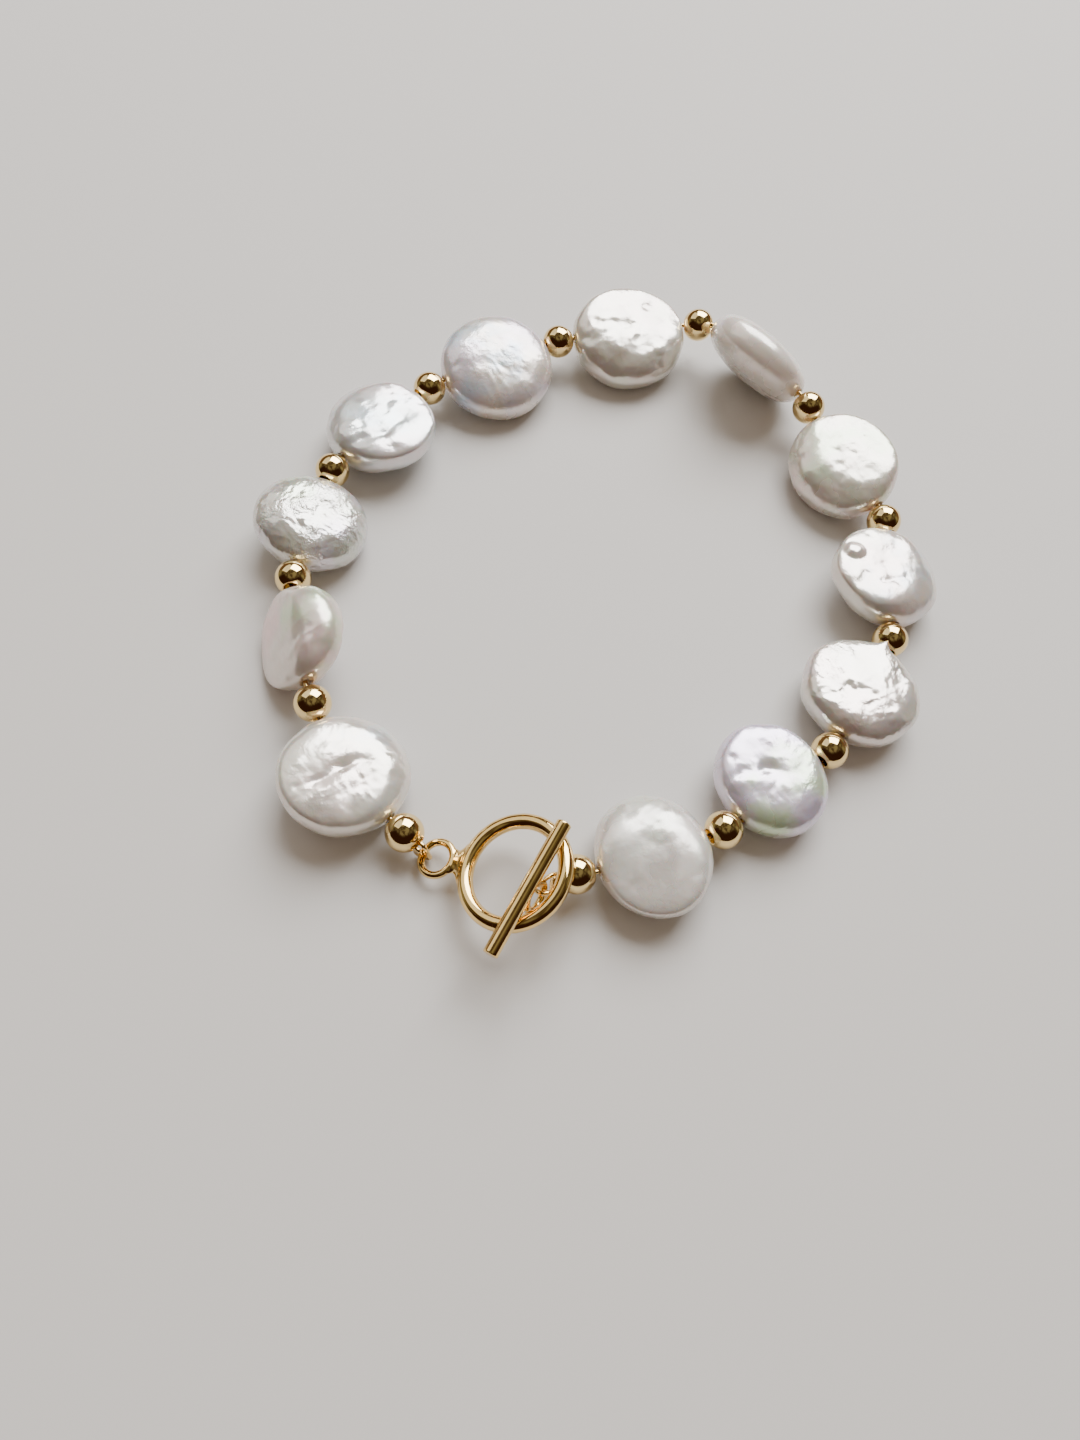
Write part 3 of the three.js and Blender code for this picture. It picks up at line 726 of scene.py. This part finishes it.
def bead_section():
    """Distance along the bore and from it, once round the wall of the bead."""
    lip_middle = BEAD_BORE_RADIUS + LIP_RADIUS
    reach = math.sqrt((BEAD_RADIUS - LIP_RADIUS) ** 2 - lip_middle ** 2)
    slope = math.atan2(lip_middle, reach)
    section = []
    for i in range(WALL_STEPS + 1):
        turn = slope + (math.pi - 2 * slope) * i / WALL_STEPS
        section.append((BEAD_RADIUS * math.cos(turn), BEAD_RADIUS * math.sin(turn)))
    for side, start, end in ((-1, math.pi - slope, 1.5 * math.pi),
                             (1, 1.5 * math.pi, 2 * math.pi + slope)):
        for i in range(1, LIP_STEPS):
            turn = start + (end - start) * i / LIP_STEPS
            section.append((side * reach + LIP_RADIUS * math.cos(turn),
                            lip_middle + LIP_RADIUS * math.sin(turn)))
    return section


def ring_faces(rows, sides):
    """Faces of a closed ring, made of rows of this many points. The last row meets the first."""
    faces = []
    for row in range(rows):
        here, after = row * sides, (row + 1) % rows * sides
        for k in range(sides):
            beside = (k + 1) % sides
            faces.append([here + k, after + k, after + beside, here + beside])
    return faces


def turned(section, turns):
    points = []
    for t in range(turns):
        angle = 2 * math.pi * t / turns
        for x, r in section:
            points.append((x, r * math.cos(angle), r * math.sin(angle)))
    return points, ring_faces(turns, len(section))


bead_points, bead_faces = turned(bead_section(), BEAD_TURNS)
for number, bead in enumerate(beads, start=1):
    x = bead["bore"]
    y = unit(np.cross(UP, x))
    where = place(x, y, np.cross(x, y), bead["middle"])
    piece = add_mesh(f"gold_bead_{number:02d}", bead_points, bead_faces, bead_gold, where)
    stands_for(piece, bead["node"])
print("beads made:", len(beads), "with", len(bead_faces), "faces each")

# %% [markdown]
# ## The clasp
# A toggle ring and its bar close the bracelet. Each is one piece with the small eye that the
# wire goes through. The ring and the bar are found in the plain model first: the ring by its
# own three directions, the bar by the middles of its two flat ends.

# %% Measure the ring and the bar
RING_RADIUS = 4.05 * MM
RING_WIRE = 0.6 * MM
RING_OVAL = 0.94
EYE_RADIUS = 1.35 * MM
EYE_WIRE = 0.3 * MM
BAR_RADIUS = 0.58 * MM
BAR_EYE_RADIUS = 1.1 * MM
END_DEPTH = 0.01 * MM

string_way = beads[-1]["middle"] - beads[0]["middle"]
points = corners("toggle_ring")
axes = spread_axes(points)
ring_x = turned_to(axes[LONGEST], string_way)
ring_z = turned_to(axes[SHORTEST], UP)
ring_y = np.cross(ring_z, ring_x)
local = points @ np.array([ring_x, ring_y, ring_z]).T
low, high = local.min(axis=0), local.max(axis=0)
eye_local = np.array([low[0] + EYE_WIRE + RING_OVAL * EYE_RADIUS, (low[1] + high[1]) / 2,
                      (low[2] + high[2]) / 2])
eye_middle = eye_local @ np.array([ring_x, ring_y, ring_z])
eye_to_ring = high[0] - RING_WIRE - RING_OVAL * RING_RADIUS - eye_local[0]
ring_place = place(ring_x, ring_y, ring_z, eye_middle)
print("eye to ring in mm:", round(eye_to_ring / MM, 3), "tilt in degrees:",
      round(math.degrees(math.acos(ring_z[2])), 2))

points = corners("toggle_bar")
bar_y = turned_to(spread_axes(points)[LONGEST], AWAY)
along = points @ bar_y
bar_ends = [points[along < along.min() + END_DEPTH].mean(axis=0),
            points[along > along.max() - END_DEPTH].mean(axis=0)]
bar_y = unit(bar_ends[1] - bar_ends[0])
bar_middle = (bar_ends[0] + bar_ends[1]) / 2
bar_length = np.linalg.norm(bar_ends[1] - bar_ends[0])
off = points - bar_middle
off -= (off @ bar_y)[:, None] * bar_y
low_side = off[np.linalg.norm(off, axis=1) > 2 * BAR_RADIUS].mean(axis=0)
bar_z = -unit(low_side)
bar_x = np.cross(bar_y, bar_z)
bar_place = place(bar_x, bar_y, bar_z, bar_middle)
bar_eye_middle = bar_middle - bar_z * (BAR_RADIUS + BAR_EYE_RADIUS)
print("bar length in mm:", round(bar_length / MM, 2))

# %% [markdown]
# Ring, eye and neck were soldered and polished into one piece, so no edge is left between them.
# The parts are swept separately, joined with a fine voxel remesh and then smoothed, which
# leaves the same soft fillets that solder does.

# %% Swept and joined metal
EDGE_STEPS = 6
VOXEL = 0.05 * MM
SOFTENING = 0.5


def swept_ring(radius, wire, oval, middle, steps, sides, plane="xy"):
    """A ring of round wire that lies in this plane, narrowed in its first direction."""
    points = []
    for s in range(steps):
        turn = 2 * math.pi * s / steps
        for k in range(sides):
            tube = 2 * math.pi * k / sides
            a = (oval * radius + wire * math.cos(tube)) * math.cos(turn)
            b = (radius + wire * math.cos(tube)) * math.sin(turn)
            c = wire * math.sin(tube)
            spot = (a, b, c) if plane == "xy" else (c, a, b)
            points.append(tuple(v + m for v, m in zip(spot, middle)))
    return points, ring_faces(steps, sides)


def rod(radius, length, rounding, sides):
    """A straight round rod along Y with slightly rounded edges at its flat ends."""
    rings = []
    for end in (-1, 1):
        for i in range(EDGE_STEPS + 1)[::-end]:
            turn = math.pi / 2 * i / EDGE_STEPS
            rings.append((end * (length / 2 - rounding + rounding * math.cos(turn)),
                          radius - rounding + rounding * math.sin(turn)))
    points, faces = [(0, -length / 2, 0), (0, length / 2, 0)], []
    for y, r in rings:
        for k in range(sides):
            turn = 2 * math.pi * k / sides
            points.append((r * math.cos(turn), y, r * math.sin(turn)))
    for k in range(sides):
        beside = (k + 1) % sides
        faces.append([0, 2 + k, 2 + beside])
        last = 2 + (len(rings) - 1) * sides
        faces.append([1, last + beside, last + k])
        for i in range(len(rings) - 1):
            a, b = 2 + i * sides, 2 + (i + 1) * sides
            faces.append([a + k, b + k, b + beside, a + beside])
    return points, faces


def joined(name, shapes, where, rounds):
    """One object from several closed shapes, merged and smoothed like soldered metal."""
    points, faces = [], []
    for some_points, some_faces in shapes:
        start = len(points)
        points.extend(some_points)
        faces.extend([[start + i for i in face] for face in some_faces])
    piece = add_mesh(name, points, faces, clasp_gold, where)
    merge = piece.modifiers.new("merge", "REMESH")
    merge.mode = "VOXEL"
    merge.voxel_size = VOXEL
    merge.use_smooth_shade = True
    soften = piece.modifiers.new("soften", "SMOOTH")
    soften.factor = SOFTENING
    soften.iterations = rounds
    return piece


# %% [markdown]
# The neck between the ring and its eye widens towards both. It is swept as a row of flat
# ovals. The profile gives where each oval lies as a share of the way, and its half width and
# half thickness in mm.

# %% Toggle ring
NECK_PROFILE = [(0, 1.05, 0.26), (0.2, 0.92, 0.32), (0.35, 0.98, 0.37), (0.5, 1.20, 0.42),
                (0.65, 1.55, 0.46), (0.82, 1.90, 0.48), (1, 2.12, 0.48)]
NECK_SIDES = 28


def tube_faces(rows, sides):
    """Faces of a tube, made of rows of this many points, with a cap at each end."""
    faces = []
    for here in range(0, (rows - 1) * sides, sides):
        for k in range(sides):
            beside = (k + 1) % sides
            faces.append([here + k, here + beside, here + sides + beside, here + sides + k])
    faces.append(list(range(sides))[::-1])
    faces.append([(rows - 1) * sides + k for k in range(sides)])
    return faces


def neck_shape(start, end):
    points = []
    for share, wide, thick in NECK_PROFILE:
        x = start + (end - start) * share
        for k in range(NECK_SIDES):
            turn = 2 * math.pi * k / NECK_SIDES
            points.append((x, wide * MM * math.cos(turn), thick * MM * math.sin(turn)))
    return points, tube_faces(len(NECK_PROFILE), NECK_SIDES)


ring_piece = joined(
    "toggle_ring_metal",
    [swept_ring(RING_RADIUS, RING_WIRE, RING_OVAL, (eye_to_ring, 0, 0), steps=160, sides=32),
     swept_ring(EYE_RADIUS, EYE_WIRE, RING_OVAL, (0, 0, 0), steps=96, sides=24),
     neck_shape(RING_OVAL * EYE_RADIUS, eye_to_ring - RING_OVAL * RING_RADIUS)],
    ring_place, rounds=10)
stands_for(ring_piece, "toggle_ring")
print("faces swept for the ring:", len(ring_piece.data.polygons))

# %% [markdown]
# The bar is cut from round wire, so its ends are flat with a barely rounded edge. Its eye hangs
# under its middle and stands across it.

# %% Toggle bar
BAR_ROUNDING = 0.08 * MM

bar_piece = joined(
    "toggle_bar_metal",
    [rod(BAR_RADIUS, bar_length, BAR_ROUNDING, sides=48),
     swept_ring(BAR_EYE_RADIUS, EYE_WIRE, 1.0, (0, 0, -(BAR_RADIUS + BAR_EYE_RADIUS)),
                steps=80, sides=24, plane="yz")],
    bar_place, rounds=8)
stands_for(bar_piece, "toggle_bar")
print("faces swept for the bar:", len(bar_piece.data.polygons))

# %% [markdown]
# ## The beading wire
# Beading wire is a bundle of thin steel strands twisted together and coated gold. It runs
# through every bore, turns round each eye of the clasp and goes back into the end bead. The
# cross section has six soft bulges that turn slowly along the wire, which shows its twist.

# %% Path of the wire
WIRE_RADIUS = 0.19 * MM
WIRE_CLEAR = 0.1 * MM
MOUTH_REACH = 0.42 * MM
TAIL = 1.1 * MM
HOOK_RADIUS = EYE_WIRE + WIRE_CLEAR + WIRE_RADIUS
HOOK_STEPS = 28


def hook(mouth, middle, normal, eye_radius):
    """The turn round an eye's own wire, open towards the mouth, and its sideways direction."""
    towards = mouth - middle
    towards = unit(towards - np.dot(towards, normal) * normal)
    held = middle + towards * eye_radius
    along_wire = unit(np.cross(normal, towards))
    out = mouth - held
    reach = np.linalg.norm(out)
    out = out / reach
    side = unit(np.cross(along_wire, out))
    leave_at = math.acos(min(1, HOOK_RADIUS / reach))
    points = []
    for i in range(HOOK_STEPS + 1):
        turn = leave_at + (2 * math.pi - 2 * leave_at) * i / HOOK_STEPS
        points.append(held + HOOK_RADIUS * (out * math.cos(turn) + side * math.sin(turn)))
    return points, side


def end_of_string(bead, outward, middle, normal, eye_radius):
    """Points from the tail inside an end bead, round the eye and back to the bead's middle."""
    mouth = bead["middle"] + outward * BEAD_REACH
    turn_at = mouth + outward * MOUTH_REACH
    points, side = hook(turn_at, middle, normal, eye_radius)
    across = unit(side - np.dot(side, outward) * outward) * (WIRE_RADIUS + WIRE_CLEAR / 2)
    inside = mouth - outward * TAIL
    tail = [inside - across, mouth - across, turn_at - across]
    back = [turn_at + across, mouth + across, inside + across,
            bead["middle"] - outward * BEAD_REACH]
    return tail + points[::-1] + back


first_end = end_of_string(beads[0], -beads[0]["bore"], eye_middle, ring_z, RING_OVAL * EYE_RADIUS)
last_end = end_of_string(beads[-1], beads[-1]["bore"], bar_eye_middle, bar_x, BAR_EYE_RADIUS)
path = list(first_end)
for bead in beads[1:-1]:
    path.append(bead["middle"] - bead["bore"] * BEAD_REACH)
    path.append(bead["middle"] + bead["bore"] * BEAD_REACH)
path.extend(last_end[::-1])
path = np.array(path)
path_length = np.linalg.norm(np.diff(path, axis=0), axis=1).sum()
print("length of the wire in mm:", round(path_length / MM, 1))

# %% [markdown]
# The path has corners, and a real wire has none. A cubic curve through every point rounds them.
# Then the bulging cross section is swept along the curve, a little further turned at each step.

# %% Sweep the wire
FINE_STEP = 0.12 * MM
FEWEST_STEPS, MOST_STEPS = 2, 14
NO_ZERO = 1e-9
STRAND_COUNT = 6
STRAND_SIDES = 24
TWIST_LENGTH = 1.6 * MM
BULGE = 0.05


def smooth_path(points):
    """A cubic curve through every point, with more steps where they lie further apart."""
    dense = []
    padded = np.vstack([2 * points[0] - points[1], points, 2 * points[-1] - points[-2]])
    for i in range(1, len(padded) - 2):
        a, b, c, d = padded[i - 1:i + 3]
        ab, bc, cd = (np.linalg.norm(q - p) ** 0.5 + NO_ZERO for p, q in ((a, b), (b, c), (c, d)))
        m1 = (c - b) + bc * ((b - a) / ab - (c - a) / (ab + bc))
        m2 = (c - b) + bc * ((d - c) / cd - (d - b) / (bc + cd))
        steps = max(FEWEST_STEPS, min(MOST_STEPS, int(np.linalg.norm(c - b) / FINE_STEP)))
        for s in range(steps):
            t = s / steps
            h = (2 * t ** 3 - 3 * t ** 2 + 1, t ** 3 - 2 * t ** 2 + t,
                 -2 * t ** 3 + 3 * t ** 2, t ** 3 - t ** 2)
            dense.append(h[0] * b + h[1] * m1 + h[2] * c + h[3] * m2)
    dense.append(points[-1])
    return np.array(dense)

def swept_wire(points):
    """A closed tube along the points, with soft bulges that turn along it."""
    tangents = np.gradient(points, axis=0)
    tangents /= np.linalg.norm(tangents, axis=1)[:, None]
    side = unit(np.cross(tangents[0], UP + 0.3 * AWAY))
    travelled = np.concatenate([[0], np.cumsum(np.linalg.norm(np.diff(points, axis=0), axis=1))])
    skin = []
    for point, tangent, far in zip(points, tangents, travelled):
        side = unit(side - np.dot(side, tangent) * tangent)
        other = np.cross(tangent, side)
        twist = 2 * math.pi * far / TWIST_LENGTH
        for k in range(STRAND_SIDES):
            turn = 2 * math.pi * k / STRAND_SIDES
            radius = WIRE_RADIUS * (1 - BULGE + BULGE * math.cos(STRAND_COUNT * (turn + twist)))
            skin.append(point + radius * (side * math.cos(turn) + other * math.sin(turn)))
    return skin, tube_faces(len(points), STRAND_SIDES)


wire_points, wire_faces = swept_wire(smooth_path(path))
wire_piece = add_mesh("beading_wire_strand", wire_points, wire_faces, wire_gold)
stands_for(wire_piece, "beading_wire")
print("faces of the wire:", len(wire_faces))

# %% [markdown]
# ## Table, light and camera
# The bracelet lies on a plain pale table. It isn't part of the object, so it is not attached to a
# body.
# Its paint is mid grey rather than white, because the window makes it much brighter.

# %% Table
TABLE_PAINT = (0.54, 0.535, 0.53)
TABLE_ROUGHNESS = 0.7
TABLE_REACH = 0.5


def pale_table():
    material, _, shader, _ = start_material("table_paint")
    shader.inputs["Base Color"].default_value = (*TABLE_PAINT, 1)
    shader.inputs["Roughness"].default_value = TABLE_ROUGHNESS
    ring = [(TABLE_REACH * x, TABLE_REACH * y, 0) for x, y in ((-1, -1), (1, -1), (1, 1), (-1, 1))]
    return add_mesh("table", ring, [[0, 1, 2, 3]], material)


pale_table()
print("table width in mm:", 2 * TABLE_REACH / MM)

# %% [markdown]
# One broad window stands behind the bracelet, a little to the right, and a much weaker curtain
# to the left. The room in front stays dim. That gives the gold its dark middle band and the
# pearls their bright tops.

# %% Light
def area_light(name, azimuth, elevation, distance, size, power, color):
    """A soft rectangle of light. Azimuth 0 is straight behind the bracelet, 90 to the right."""
    a, e = math.radians(azimuth), math.radians(elevation)
    way = Vector((math.sin(a) * math.cos(e), math.cos(a) * math.cos(e), math.sin(e)))
    data = bpy.data.lights.new(name, "AREA")
    data.shape = "RECTANGLE"
    data.size, data.size_y = size
    data.energy = power
    data.color = color
    light = bpy.data.objects.new(name, data)
    light.location = way * distance
    light.rotation_mode = "QUATERNION"
    light.rotation_quaternion = way.to_track_quat("Z", "Y")
    bpy.context.scene.collection.objects.link(light)
    print(name, "at:", [round(v, 2) for v in light.location])


area_light("window", azimuth=13, elevation=46, distance=1.0, size=(0.80, 0.78), power=24,
           color=(1.0, 0.99, 0.975))
area_light("curtain", azimuth=-50, elevation=46, distance=1.0, size=(0.82, 0.66), power=1.9,
           color=(1.0, 0.97, 0.90))

# %% [markdown]
# Gold shows whatever is around it, so the room matters as much as the window. Overhead it is a
# dull olive, in front nearly black, and under the window a low brown wall. The direction of each
# ray decides what it meets. Rays that light matte surfaces meet an even warm fill instead, which
# keeps the shadows soft and tan without brightening the gold. A camera that looks past the table
# sees a plain pale backdrop.

# %% The room around
OVERHEAD_DARK = (0.078, 0.056, 0.032)
OVERHEAD_PALE = (0.26, 0.24, 0.16)
FRONT = (0.030, 0.012, 0.007)
LOW_WALL = (0.17, 0.10, 0.06)
WARM_FILL = (0.41, 0.31, 0.225)
BACKDROP = (0.80, 0.79, 0.78)

world = bpy.data.worlds.new("dim_room")
world.use_nodes = True
room = world.node_tree
direction = add_node(room, "ShaderNodeTexCoord").outputs["Generated"]
parts = add_node(room, "ShaderNodeSeparateXYZ")
room.links.new(direction, parts.inputs[0])
height, away = parts.outputs["Z"], parts.outputs["Y"]
ceiling = noise_node(room, direction, scale=2.6, detail=2.0)
overhead = mix_colors(room, remap(room, ceiling.outputs["Fac"], 0.4, 0.6),
                      plain_color(room, OVERHEAD_DARK), plain_color(room, OVERHEAD_PALE))
front_side = add_math(room, "MULTIPLY", remap(room, away, -0.25, 0.12, 1.0, 0.0),
                      remap(room, height, 0.65, 0.95, 1.0, 0.0))
with_front = mix_colors(room, front_side, overhead, plain_color(room, FRONT))
low_wall = add_math(room, "MULTIPLY", remap(room, away, 0.2, 0.5),
                    remap(room, height, 0.3, 0.45, 1.0, 0.0))
mirrored = mix_colors(room, low_wall, with_front, plain_color(room, LOW_WALL))
ray = add_node(room, "ShaderNodeLightPath")
all_round = mix_colors(room, ray.outputs["Is Diffuse Ray"], mirrored,
                       plain_color(room, WARM_FILL))
seen = mix_colors(room, ray.outputs["Is Camera Ray"], all_round, plain_color(room, BACKDROP))
room.links.new(seen, room.nodes["Background"].inputs["Color"])
bpy.context.scene.world = world
print("nodes of the room:", len(room.nodes))

# %% [markdown]
# The camera looks down at about 63 degrees and is slightly rolled. It stands close, which makes
# the near pearls look larger than the far ones. Its focal length is given as a share of the
# picture's longer side, so it fits a picture of any number of pixels.

# %% Camera
CAMERA_ELEVATION = math.radians(63.1)
CAMERA_ROLL = math.radians(9.2)
CAMERA_DISTANCE = 82.3 * MM
CAMERA_TARGET = Vector((-2.871, -12.836, 0)) * MM
SENSOR_WIDTH = 36
FOCAL_SHARE = 1000 / 1440

camera_data = bpy.data.cameras.new("camera")
camera_data.sensor_fit = "AUTO"
camera_data.sensor_width = SENSOR_WIDTH
camera_data.lens = SENSOR_WIDTH * FOCAL_SHARE
camera_data.clip_start = MM
camera = bpy.data.objects.new("camera", camera_data)
forward = Vector((0, math.cos(CAMERA_ELEVATION), -math.sin(CAMERA_ELEVATION)))
level = Vector((1, 0, 0))
upward = level.cross(forward)
right = math.cos(CAMERA_ROLL) * level + math.sin(CAMERA_ROLL) * upward
above = right.cross(forward)
camera.matrix_world = place(right, above, -forward, CAMERA_TARGET - forward * CAMERA_DISTANCE)
bpy.context.scene.collection.objects.link(camera)
bpy.context.scene.camera = camera
print("camera at:", [round(v / MM, 1) for v in camera.location])
